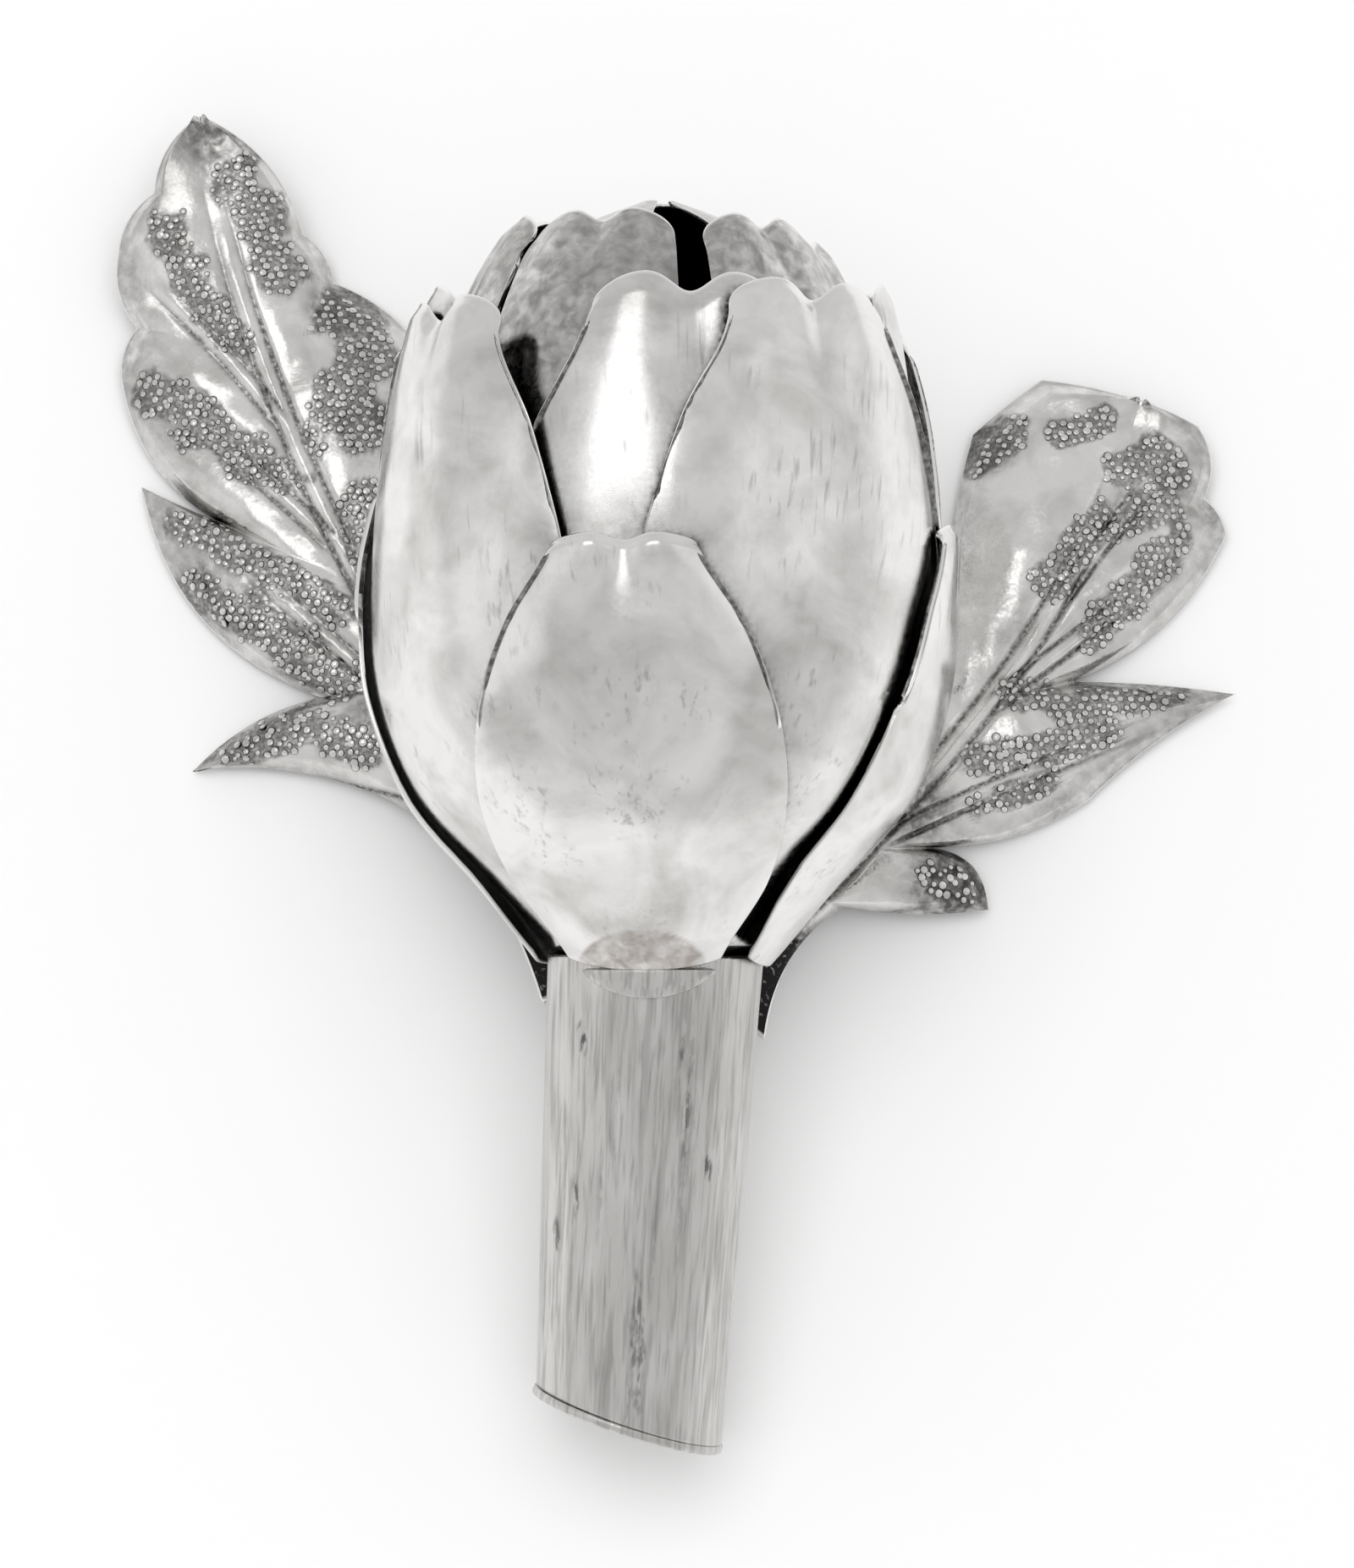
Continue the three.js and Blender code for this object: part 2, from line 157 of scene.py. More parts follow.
# Edge points of the leaves: x, z, bulge, foot on the midrib, and whether it is a lobe's tip.
LEFT_LEAF = dict(
    name="left_leaf",
    midrib=[(-12.3, -6), (-25, 24), (-65, 71), (-76.5, 137)],
    root_half_width=6,
    left=[
        (-43, 23, -0.1, 0.25, False),
        (-75.5, 28, -0.07, 0.39, True),
        (-55, 40, 0.08, 0.43, False),
        (-85.5, 75, 0.14, 0.505, True),
        (-72.5, 69, 0, 0.54, False),
        (-89.5, 94, 0.12, 0.74, True),
        (-87, 102, 0.1, 0.78, False),
        (-90, 114, 0.12, 0.87, True),
        (-84, 124.5, 0.12, 0.92, False),
    ],
    right=[
        (-36, 91, -0.03, 0.62, True),
        (-54.5, 110, 0.12, 0.74, False),
        (-59.5, 118, 0.12, 0.82, False),
    ],
    tip_bulge=0.12,
    midrib_lift=[15.5, 7.5, 8, 9, 12.5],
    edge_lift=[15.5, 2, 0.2, 1.5, 12.5],
)
RIGHT_LEAF = dict(
    name="right_leaf",
    midrib=[(10.5, -9), (28, 14), (64, 38), (80, 89)],
    root_half_width=8,
    left=[
        (49, 68, 0.01, 0.6, False),
        (52.5, 84, 0.02, 0.72, False),
        (64, 93, 0.02, 0.86, False),
    ],
    right=[
        (30, 6, -0.12, 0.23, False),
        (53.5, 5.5, 0.04, 0.28, True),
        (44, 15.5, 0.22, 0.335, False),
        (70, 23, 0.08, 0.42, False),
        (94.5, 40.5, -0.04, 0.5, True),
        (68, 42.5, 0.02, 0.6, False),
        (94, 67, 0.1, 0.74, True),
        (90.5, 73, 0.1, 0.79, False),
        (89.5, 85, 0.14, 0.9, True),
    ],
    tip_bulge=0.03,
    midrib_lift=[15.5, 7.5, 8, 9, 6],
    edge_lift=[15.5, 2, 0.2, 1, 6],
)

# ---- Curves and places ----------------------------------------------------------------------


def spline(points, t):
    """Catmull-Rom curve through evenly numbered points, at shares t of the way along."""
    points = np.asarray(points, float).reshape(len(points), -1)
    place = np.clip(np.asarray(t, float), 0, 1) * (len(points) - 1)
    i = np.clip(np.floor(place).astype(int), 0, len(points) - 2)
    w = (place - i)[..., None]
    before = points[np.maximum(i - 1, 0)]
    here, there = points[i], points[i + 1]
    after = points[np.minimum(i + 2, len(points) - 1)]
    start, end = (there - before) / 2, (after - here) / 2
    cubic = 2 * here - 2 * there + start + end
    square = -3 * here + 3 * there - 2 * start - end
    return cubic * w**3 + square * w**2 + start * w + here


def through(values, t):
    return spline(values, t)[..., 0]


def curve_length(points):
    samples = spline(points, np.linspace(0, 1, 200))
    return np.linalg.norm(np.diff(samples, axis=0), axis=1).sum()


def ease(low, high, value):
    share = np.clip((value - low) / (high - low), 0, 1)
    return share * share * (3 - 2 * share)


def axis_x(height):
    return np.where(np.asarray(height) < 0, STEM_LEAN, BULB_LEAN) * height


def around(radius, azimuth, height):
    """Points at these radii, azimuths in degrees from the front, and heights."""
    angle = np.radians(azimuth)
    return np.stack([axis_x(height) + radius * np.sin(angle), -radius * np.cos(angle),
                     height + 0 * radius], axis=-1)


def table_depth(height):
    return TABLE_DEPTH + math.tan(math.radians(LIE_BACK)) * height


LAY_DOWN = np.array(Matrix.Rotation(math.radians(LIE_BACK - 90), 3, "X"))
receptacle_low, receptacle_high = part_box("receptacle")
receptacle_middle = np.array([0, 0, RECEPTACLE_TOP - RECEPTACLE_HEIGHT / 2])
ORIGIN = np.array((receptacle_low + receptacle_high) / 2) * 1000 - LAY_DOWN @ receptacle_middle


def to_frame(points):
    """Millimetres along the ornament's axis, as metres in the part's frame."""
    return (np.asarray(points).reshape(-1, 3) @ LAY_DOWN.T + ORIGIN) * 0.001


def smooth_noise(x, y, seed, octaves=3):
    """Gentle waves from -1 to 1 over x and y, the same each run."""
    rng = np.random.default_rng(seed)
    total = np.zeros_like(np.asarray(x, float))
    for octave in range(octaves):
        for _ in range(4):
            heading = rng.uniform(0, 2 * math.pi)
            phase = rng.uniform(0, 2 * math.pi)
            rate = 2.0**octave * rng.uniform(0.8, 1.3)
            wave = np.sin(rate * (x * math.cos(heading) + y * math.sin(heading)) + phase)
            total += wave / (4 * 1.6**octave)
    return total


# ---- Meshes -----------------------------------------------------------------------------------

RIM_STEPS = 3


def make_piece(name, points, faces, attributes, material, node):
    mesh = bpy.data.meshes.new(name)
    mesh.from_pydata(to_frame(points).tolist(), [], faces)
    for key, values in attributes.items():
        layer = mesh.attributes.new(key, "FLOAT", "POINT")
        layer.data.foreach_set("value", np.asarray(values, np.float32))
    mesh.polygons.foreach_set("use_smooth", [True] * len(mesh.polygons))
    mesh.materials.append(material)
    piece = bpy.data.objects.new(name, mesh)
    bpy.context.scene.collection.objects.link(piece)
    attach(piece, "root")
    if node:
        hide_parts(node)
    return piece


def grid_normals(front, toward):
    """Unit normals of a grid of points, on the side that faces away from toward."""
    along = np.gradient(front, axis=0)
    across = np.gradient(front, axis=1)
    normals = np.cross(across, along)
    normals /= np.linalg.norm(normals, axis=-1, keepdims=True) + 1e-12
    flip = np.sum(normals * toward, axis=-1).mean() < 0
    return -normals if flip else normals


def sheet_body(front, thickness, toward):
    """A closed sheet with a rounded rim, as points and faces.

    The first block of points is the front grid, then the back grid, then the rim's rings.
    """
    rows, columns = front.shape[:2]
    normals = grid_normals(front, toward)
    back = front - normals * thickness
    number = np.arange(rows * columns).reshape(rows, columns)
    loop = np.concatenate([
        number[0, :-1], number[:-1, -1], number[-1, :0:-1], number[:0:-1, 0],
    ])
    r, c = np.divmod(loop, columns)
    inner = front[np.clip(r, 1, rows - 2), np.clip(c, 1, columns - 2)]
    outward = front[r, c] - inner
    normal = normals[r, c]
    outward -= np.sum(outward * normal, axis=-1, keepdims=True) * normal
    outward /= np.linalg.norm(outward, axis=-1, keepdims=True) + 1e-12
    rings = []
    for step in range(1, RIM_STEPS + 1):
        turn = math.pi * step / (RIM_STEPS + 1)
        rings.append(front[r, c] - normal * thickness * (1 - math.cos(turn)) / 2
                     + outward * thickness / 2 * math.sin(turn))
    count = rows * columns
    points = np.concatenate([front.reshape(-1, 3), back.reshape(-1, 3), *rings])
    a, b = number[:-1, :-1].ravel(), number[:-1, 1:].ravel()
    d, e = number[1:, 1:].ravel(), number[1:, :-1].ravel()
    faces = [np.stack([a, b, d, e], 1), np.stack([a, e, d, b], 1) + count]
    borders = [loop] + [2 * count + k * len(loop) + np.arange(len(loop)) for k in range(RIM_STEPS)]
    borders.append(loop + count)
    for one, two in zip(borders, borders[1:]):
        faces.append(np.stack([one, two, np.roll(two, -1), np.roll(one, -1)], 1))
    faces = np.concatenate(faces)
    first = points[faces[0]]
    facing = np.cross(first[1] - first[0], first[2] - first[0]) @ normals[0, 0]
    if facing < 0:
        faces = faces[:, ::-1]
    return points, faces.tolist(), loop


def spread(values, loop):
    """A value per front grid point, repeated for the back and the rim's rings."""
    flat = np.asarray(values, float).ravel()
    return np.concatenate([flat, flat] + [flat[loop]] * RIM_STEPS)


def rim_share(loop, count):
    """1 on the rim's own rings and its border, 0 elsewhere."""
    flat = np.zeros(count)
    flat[loop] = 1
    return np.concatenate([flat, flat] + [np.ones(len(loop))] * RIM_STEPS)


def with_borders(count, inset):
    """Even steps from 0 to 1 with one more close to each end."""
    steps = np.linspace(0, 1, count)
    return np.unique(np.concatenate([steps, [inset, 1 - inset]]))


# ---- Materials --------------------------------------------------------------------------------


def mix(tree, factor, one, two):
    """A colour mix: one where factor is 0 and two where it is 1. Colours or sockets."""
    made = tree.nodes.new("ShaderNodeMix")
    made.data_type = "RGBA"
    for socket, value in ((made.inputs[0], factor), (made.inputs[6], one), (made.inputs[7], two)):
        if isinstance(value, bpy.types.NodeSocket):
            tree.links.new(value, socket)
        else:
            socket.default_value = value
    return made.outputs[2]


def math_node(tree, operation, one, two=0.0):
    made = tree.nodes.new("ShaderNodeMath")
    made.operation = operation
    made.use_clamp = operation in ("MULTIPLY", "ADD")
    for socket, value in ((made.inputs[0], one), (made.inputs[1], two)):
        if isinstance(value, bpy.types.NodeSocket):
            tree.links.new(value, socket)
        else:
            socket.default_value = value
    return made.outputs[0]


def ramp(tree, source, *stops):
    """Maps a value to grey levels: stops are (position, level)."""
    made = tree.nodes.new("ShaderNodeValToRGB")
    tree.links.new(source, made.inputs[0])
    elements = made.color_ramp.elements
    while len(elements) < len(stops):
        elements.new(0.5)
    for element, (position, level) in zip(elements, stops):
        element.position = position
        element.color = (level, level, level, 1)
    return made.outputs[0]


def noise(tree, size_mm, detail=4.0, stretch=(1, 1, 1), turn=(0, 0, 0), distortion=0.0):
    """Noise whose features are about size_mm across, over the piece's own place.

    turn is applied before the stretch, so that long features can follow any direction.
    """
    place = tree.nodes.new("ShaderNodeTexCoord")
    turned = tree.nodes.new("ShaderNodeMapping")
    turned.inputs["Rotation"].default_value = turn
    tree.links.new(place.outputs["Object"], turned.inputs[0])
    mapping = tree.nodes.new("ShaderNodeMapping")
    mapping.inputs["Scale"].default_value = [1000 / size_mm * s for s in stretch]
    tree.links.new(turned.outputs[0], mapping.inputs[0])
    made = tree.nodes.new("ShaderNodeTexNoise")
    made.inputs["Scale"].default_value = 1
    made.inputs["Detail"].default_value = detail
    made.inputs["Distortion"].default_value = distortion
    tree.links.new(mapping.outputs[0], made.inputs["Vector"])
    return made.outputs["Fac"]


def attribute(tree, name):
    made = tree.nodes.new("ShaderNodeAttribute")
    made.attribute_name = name
    return made.outputs["Fac"]


def bump(tree, height, strength, distance_mm, normal=None):
    made = tree.nodes.new("ShaderNodeBump")
    made.inputs["Strength"].default_value = strength
    made.inputs["Distance"].default_value = distance_mm * 0.001
    tree.links.new(height, made.inputs["Height"])
    if normal:
        tree.links.new(normal, made.inputs["Normal"])
    return made.outputs["Normal"]


def new_metal(name):
    material = bpy.data.materials.new(name)
    material.use_nodes = True
    tree = material.node_tree
    shader = tree.nodes["Principled BSDF"]
    shader.inputs["Metallic"].default_value = 1.0
    return material, tree, shader


SILVER = (0.87, 0.862, 0.85, 1)
CLOUDED = (0.56, 0.548, 0.53, 1)
TARNISHED = (0.26, 0.25, 0.24, 1)
BLACKENED = (0.13, 0.125, 0.12, 1)
# Near-black for oxide, also used for painted shade.
OXIDE_AND_SHADE = (0.022, 0.021, 0.021, 1)
BROWN = (0.38, 0.345, 0.32, 1)


def polished_silver():
    """Hand-polished sheet: soft clouds of tarnish, hairline scratches, bright rims, and dark seams,
    feet and backs of painted shade, with some oxide in the seams.
    """
    material, tree, shader = new_metal("polished_silver")
    clouds = ramp(tree, noise(tree, 15, 5, distortion=0.7), (0.42, 0.0), (0.68, 1.0))
    spots = ramp(tree, noise(tree, 4.5, 6), (0.5, 0.0), (0.78, 1.0))
    tarnish = math_node(tree, "MULTIPLY", clouds, 0.75)
    tarnish = math_node(tree, "ADD", tarnish, math_node(tree, "MULTIPLY", spots, 0.35))
    color = mix(tree, tarnish, SILVER, CLOUDED)
    grain = ramp(tree, noise(tree, 2.4, 6, distortion=0.4), (0.35, 0.35), (0.65, 1.0))
    color = mix(tree, math_node(tree, "MULTIPLY", attribute(tree, "cloud"), grain), color, TARNISHED)
    color = mix(tree, math_node(tree, "MULTIPLY", attribute(tree, "brown"), grain), color, BROWN)
    lines = ramp(tree, noise(tree, 1.1, 5, stretch=(1, 0.06, 1)), (0.56, 0.0), (0.68, 1.0))
    where = ramp(tree, noise(tree, 13, 3), (0.5, 0.0), (0.62, 0.45))
    color = mix(tree, math_node(tree, "MULTIPLY", lines, where), color, TARNISHED)
    grit = ramp(tree, noise(tree, 0.9, 4), (0.3, 0.55), (0.6, 1.0))
    # Painted shade at the seams, feet and backs of the bracts, with some oxide in the seams, from the
    # per-point attribute.
    bract_oxide_and_shade = math_node(tree, "MULTIPLY", attribute(tree, "oxide_and_shade"), grit)
    color = mix(tree, bract_oxide_and_shade, color, OXIDE_AND_SHADE)
    color = mix(tree, attribute(tree, "rim"), color, SILVER)
    tree.links.new(color, shader.inputs["Base Color"])
    broad = ramp(tree, noise(tree, 11, 5), (0.3, 0.0), (0.75, 0.12))
    fine = ramp(tree, noise(tree, 0.7, 5), (0.35, 0.08), (0.65, 0.18))
    tree.links.new(math_node(tree, "ADD", broad, fine), shader.inputs["Roughness"])
    scratch_one = noise(tree, 1.8, 3, stretch=(1, 16, 16), turn=(0.3, 0.2, 0.5))
    scratch_two = noise(tree, 1.4, 3, stretch=(14, 1, 14), turn=(0.1, 0.5, 0.2))
    normal = bump(tree, scratch_one, 0.08, 0.06)
    normal = bump(tree, scratch_two, 0.08, 0.06, normal)
    normal = bump(tree, noise(tree, 8, 2), 0.12, 0.6, normal)
    tree.links.new(normal, shader.inputs["Normal"])
    return material


def chased_silver():
    """Leaf silver: polished, with dark oxide among the punched domes and beside the veins, painted
    shadow at the root and painted shade on the back.
    """
    material, tree, shader = new_metal("chased_silver")
    clouds = ramp(tree, noise(tree, 9, 6, distortion=0.6), (0.40, 0.0), (0.7, 1.0))
    dullness = math_node(tree, "ADD", math_node(tree, "MULTIPLY", clouds, 0.75), 0.15)
    color = mix(tree, dullness, SILVER, CLOUDED)
    grain = ramp(tree, noise(tree, 1.8, 6, distortion=0.4), (0.35, 0.3), (0.62, 1.0))
    color = mix(tree, math_node(tree, "MULTIPLY", attribute(tree, "cloud"), grain), color, BLACKENED)
    # Oxide among the domes and beside the veins; painted shadow at the leaf's root and painted shade on
    # its back.
    grit = ramp(tree, noise(tree, 0.8, 4), (0.34, 0.45), (0.58, 1.0))
    leaf_oxide_and_shade = math_node(tree, "MULTIPLY", attribute(tree, "oxide_and_shade"), grit)
    color = mix(tree, leaf_oxide_and_shade, color, OXIDE_AND_SHADE)
    color = mix(tree, attribute(tree, "rim"), color, SILVER)
    tree.links.new(color, shader.inputs["Base Color"])
    broad = ramp(tree, noise(tree, 6, 5), (0.3, 0.0), (0.75, 0.12))
    fine = ramp(tree, noise(tree, 0.6, 5), (0.35, 0.08), (0.65, 0.24))
    tree.links.new(math_node(tree, "ADD", broad, fine), shader.inputs["Roughness"])
    normal = bump(tree, noise(tree, 1.3, 3, stretch=(1, 9, 9), turn=(0, 0.3, 0.9)), 0.08, 0.08)
    normal = bump(tree, noise(tree, 3.8, 3), 0.35, 0.5, normal)
    tree.links.new(normal, shader.inputs["Normal"])
    return material


def satin_silver():
    """Stem silver: satin, streaked lengthwise, with tarnish and dark pits, and painted shade inside the
    tube and on the receptacle.
    """
    material, tree, shader = new_metal("satin_silver")
    along = (math.radians(-LIE_BACK), 0, math.atan(STEM_LEAN))
    fine = noise(tree, 0.6, 5, stretch=(1, 0.05, 1), turn=along, distortion=0.3)
    streaks = noise(tree, 1.5, 6, stretch=(1, 0.07, 1), turn=along, distortion=0.3)
    broad = noise(tree, 8, 5, stretch=(1, 0.3, 1), turn=along)
    color = mix(tree, ramp(tree, broad, (0.34, 0.5), (0.68, 1.0)), SILVER, CLOUDED)
    color = mix(tree, ramp(tree, streaks, (0.50, 0.0), (0.66, 0.4)), color, TARNISHED)
    color = mix(tree, ramp(tree, fine, (0.50, 0.0), (0.66, 0.45)), color, TARNISHED)
    specks = ramp(tree, noise(tree, 0.7, 5, stretch=(1, 0.3, 1), turn=along), (0.44, 0.15), (0.56, 1.0))
    # Oxide in the stem's pits and bark grooves; painted shade on the tube's inside and on the
    # receptacle.
    dark = math_node(tree, "MULTIPLY", attribute(tree, "oxide_and_shade"), specks)
    color = mix(tree, dark, color, OXIDE_AND_SHADE)
    tree.links.new(color, shader.inputs["Base Color"])
    rough = ramp(tree, noise(tree, 1.5, 3, stretch=(1, 0.08, 1), turn=along), (0.3, 0.26), (0.7, 0.44))
    tree.links.new(rough, shader.inputs["Roughness"])
    normal = bump(tree, streaks, 0.5, 0.25)
    normal = bump(tree, fine, 0.4, 0.12, normal)
    tree.links.new(normal, shader.inputs["Normal"])
    return material


def oxidised_silver():
    """The inside of the bud, never polished."""
    material, tree, shader = new_metal("oxidised_silver")
    color = mix(tree, ramp(tree, noise(tree, 8, 5), (0.35, 0.0), (0.7, 1.0)), TARNISHED, OXIDE_AND_SHADE)
    tree.links.new(color, shader.inputs["Base Color"])
    shader.inputs["Roughness"].default_value = 0.5
    tree.links.new(bump(tree, noise(tree, 3, 4), 0.3, 0.2), shader.inputs["Normal"])
    return material


POLISHED = polished_silver()
CHASED = chased_silver()
SATIN = satin_silver()
OXIDISED = oxidised_silver()

# ---- Bracts -------------------------------------------------------------------------------------

NOTCH_WIDTH = 0.27
LOBE_PUFF = 0.6
CREASE_DEPTH = 0.9
CREASE_WIDTH = 0.2
TIP_CURL = 0.7
EDGE_TUCK = 0.7
LOBE_PLACE, LOBE_WIDTH = 0.45, 0.28
HAMMER_WAVES = 0.28
# Painted shade, with some oxide, along the seams where one bract's edge lies over another: a dark line
# and a softer halo.
SEAM_DARK, SEAM_REACH = 0.9, 0.7
SHADE_DARK, SHADE_REACH = 0.22, 3.0
# Painted shade at the feet of the inner bracts, where the outer ones cover them, and on the backs of
# all bracts.
FOOT_SHADE, BRACT_BACK_SHADE = 0.5, 0.85
FRONT_COLUMNS, FRONT_ROWS = 121, 141
BACK_COLUMNS, BACK_ROWS = 61, 71
BULB_MIDDLE = np.array([1, 0, 48])
BULB_RADIUS = 42

# How clouded each whorl is, and the brown half moon on the front bract's foot: x, z, half width
# and half height.
WHORL_CLOUD = dict(outer_bract=0.0, second_bract=0.05, third_bract=0.1, fourth_bract=0.85,
                   crown_bract=0.7)
HALF_MOON = (-2, -1.7, 10, 6)


def bract_front(whorl, plan, seed):
    """Front face of a bract: heart-tipped, creased down from the notch, with puffed lobes."""
    facing = abs(plan["azimuth"]) < 110
    columns, rows = (FRONT_COLUMNS, FRONT_ROWS) if facing else (BACK_COLUMNS, BACK_ROWS)
    across = np.sin(np.linspace(-1, 1, columns) * math.pi / 2)
    u, v = np.meshgrid(across, with_borders(rows, 0.004))
    length = curve_length(whorl["profile"])
    notch = whorl["notch"] * np.exp(-((u / NOTCH_WIDTH) ** 2))
    shoulder = whorl["shoulder"] * (1 - np.sqrt(np.maximum(0, 1 - u * u)))
    low = whorl["foot"] * u * u / length
    high = plan["reach"] - (notch + shoulder) / length
    place = spline(whorl["profile"], low + v * (high - low))
    radius, height = place[..., 0], place[..., 1]
    width = whorl["half_width"] * through(BRACT_WIDTHS, v)
    half_angle = np.minimum(np.degrees(width / radius), plan["limit"])
    if whorl["notch"]:
        lobes = np.exp(-(((np.abs(u) - LOBE_PLACE) / LOBE_WIDTH) ** 2))
        radius = radius + ease(0.75, 1, v) * LOBE_PUFF * lobes
        radius = radius - ease(0.78, 1, v) * CREASE_DEPTH * np.exp(-((u / CREASE_WIDTH) ** 2))
        radius = radius - TIP_CURL * ease(0.975, 1, v)
        radius = radius - EDGE_TUCK * u**4 * ease(0.1, 0.4, v)
    waves = smooth_noise(u * 3.2, v * 5.5, seed)
    radius = radius + HAMMER_WAVES * waves * ease(0.02, 0.15, v)
    return around(radius, plan["azimuth"] + u * half_angle, height), u, v


def directions(points):
    away = points.reshape(-1, 3) - BULB_MIDDLE
    return away / np.linalg.norm(away, axis=-1, keepdims=True)


def edge_points(front):
    return np.concatenate([front[0], front[-1], front[:, 0], front[:, -1]])


def seam_shade(front, edges):
    """Dark painted shade, with some oxide, where another bract's edge lies over this one, fading within
    a few millimetres.
    """
    if not len(edges):
        return np.zeros(front.shape[:2])
    seen = directions(np.concatenate(edges))
    tree = KDTree(len(seen))
    for number, place in enumerate(seen):
        tree.insert(place, number)
    tree.balance()
    gap = np.array([tree.find(place)[2] for place in directions(front)]) * BULB_RADIUS
    shade = SEAM_DARK * np.exp(-((gap / SEAM_REACH) ** 2))
    shade = shade + SHADE_DARK * np.exp(-((gap / SHADE_REACH) ** 2))
    return np.clip(shade, 0, 1).reshape(front.shape[:2])


def build_bract(whorl, plan, seed, edges):
    front, u, v = bract_front(whorl, plan, seed)
    axis = np.stack([axis_x(front[..., 2]), 0 * front[..., 2], front[..., 2]], -1)
    points, faces, loop = sheet_body(front, SHEET, front - axis)
    count = u.size
    # Painted shade: the inner bracts' feet, the seams (with some oxide) and the backs are darkened.
    foot = FOOT_SHADE * (1 - ease(0.0, 0.06, v)) * (whorl["name"] != "outer_bract")
    oxide_and_shade = spread(np.clip(seam_shade(front, edges) + foot, 0, 1), loop)
    oxide_and_shade[count:2 * count] = BRACT_BACK_SHADE
    rim = rim_share(loop, count) * spread(ease(0.02, 0.2, v), loop)
    cloud = np.full_like(oxide_and_shade, WHORL_CLOUD[whorl["name"]])
    x, z, half_x, half_z = HALF_MOON
    moon = ((front[..., 0] - x) / half_x) ** 2 + ((front[..., 2] - z) / half_z) ** 2
    is_first = whorl["name"] == "outer_bract" and plan["name"] == "front"
    brown = spread((1 - ease(0.85, 1.0, moon)) * is_first, loop)
    name = f"{whorl['name']}_{plan['name']}"
    attributes = dict(oxide_and_shade=oxide_and_shade, rim=rim, cloud=cloud, brown=brown)
    make_piece(name + "_sheet", points, faces, attributes, POLISHED, name)
    return edge_points(front)


def build_bulb():
    edges = []
    for w, whorl in enumerate(WHORLS):
        found = [build_bract(whorl, plan, 10 * w + b, edges) for b, plan in enumerate(whorl["bracts"])]
        edges = edges + found


build_bulb()

# ---- Leaves -------------------------------------------------------------------------------------

LEAF_ROWS = 230
LEAF_COLUMNS = 121
MIDRIB_HEIGHT, MIDRIB_WIDTH = 0.8, 0.9
VEIN_HEIGHT, VEIN_WIDTH = 0.55, 0.75
GROOVE_DEPTH = 0.5
PILLOW_HEIGHT, PILLOW_REACH = 1.8, 5.0
RUFFLE = 1.3
RIPPLE = 0.45
# Oxide in the grooves beside the veins; painted shadow at the leaf's root, where it runs behind the
# stem and bulb; painted shade on the leaf's back.
GROOVE_DARK, ROOT_SHADOW, LEAF_BACK_SHADE = 0.95, 1.7, 0.6
MARGIN_CLOUD = 0.6
DOME_RADIUS = 0.74
DOME_HEIGHT = 0.17
DOME_SPACING = 1.5
DOME_ROW_STEP = 0.87
DOME_SIZES = (0.62, 1.15)
DOME_SIDES = 8
DOME_JITTER = 0.42
DOME_EDGE = 0.93
DOME_GAPS = 0.07
BAND_SPREAD = 1.3
BAND_RAGGED = 0.45
BAND_DARK = 0.7

# Punched bands: half width, then the points of the middle line, in x and z, where they seem to
# be level with the ornament's axis.
LEFT_BANDS = [
    (3.1, [(-66.7, 122.2), (-63.3, 115.7), (-59.4, 107.3)]),
    (2.8, [(-77.6, 113.8), (-75.4, 107.9), (-71.1, 101.4)]),
    (2.0, [(-71, 101), (-65.7, 94.9)]),
    (3.1, [(-79.3, 87.8), (-71.5, 82.6), (-59.2, 74.8)]),
    (3.9, [(-49.8, 100.8), (-46.2, 93), (-47.2, 81.3)]),
    (2.0, [(-52.5, 89), (-53.5, 80)]),
    (2.3, [(-46.8, 71.5), (-46.2, 63.1)]),
    (2.2, [(-74.8, 66.3), (-63, 60.5), (-49.4, 53.3)]),
    (3.1, [(-72.8, 57.2), (-61.8, 50), (-48.8, 42.3)]),
    (2.6, [(-66.7, 30.6), (-56.6, 34.5), (-44.9, 31.9)]),
]
RIGHT_BANDS = [
    (2.8, [(50.7, 77.4), (55.3, 81.3)]),
    (1.8, [(63.7, 81.3), (70.9, 83.2)]),
    (2.6, [(73.5, 76), (79, 77.5), (81, 73.5)]),
    (2.6, [(61.8, 57.9), (68.3, 65), (79.3, 69.6)]),
    (2.5, [(68.3, 49.4), (75.5, 56.6), (81.3, 63.1)]),
    (2.2, [(55.3, 39.7), (67, 38.4), (80, 40.3)]),
    (2.2, [(50.1, 29.3), (60.5, 31.2), (70.9, 34.5)]),
    (1.9, [(50, 22.8), (60.5, 26)]),
    (2.0, [(42.3, 11.7), (49, 9.8)]),
]

# Tarnished patches: x, z, radius and how dark.
LEFT_STAINS = [(-73, 137, 11, 0.95), (-54, 105.5, 5.5, 0.8), (-44, 86.5, 5, 0.8),
               (-46, 59.5, 6, 0.7), (-46, 36.5, 6, 0.7), (-75.5, 109.5, 6, 0.3)]
RIGHT_STAINS = [(54, 81.5, 6, 0.8), (48, 9.5, 10, 1.0), (86.5, 76, 5, 0.5), (41.5, 22, 8, 0.8),
                (57.5, 51, 5, 0.3)]


def bezier(points, t):
    a, b, c, d = [np.asarray(p, float) for p in points]
    t = np.asarray(t, float)[..., None]
    return (1 - t) ** 3 * a + 3 * (1 - t) ** 2 * t * b + 3 * (1 - t) * t**2 * c + t**3 * d


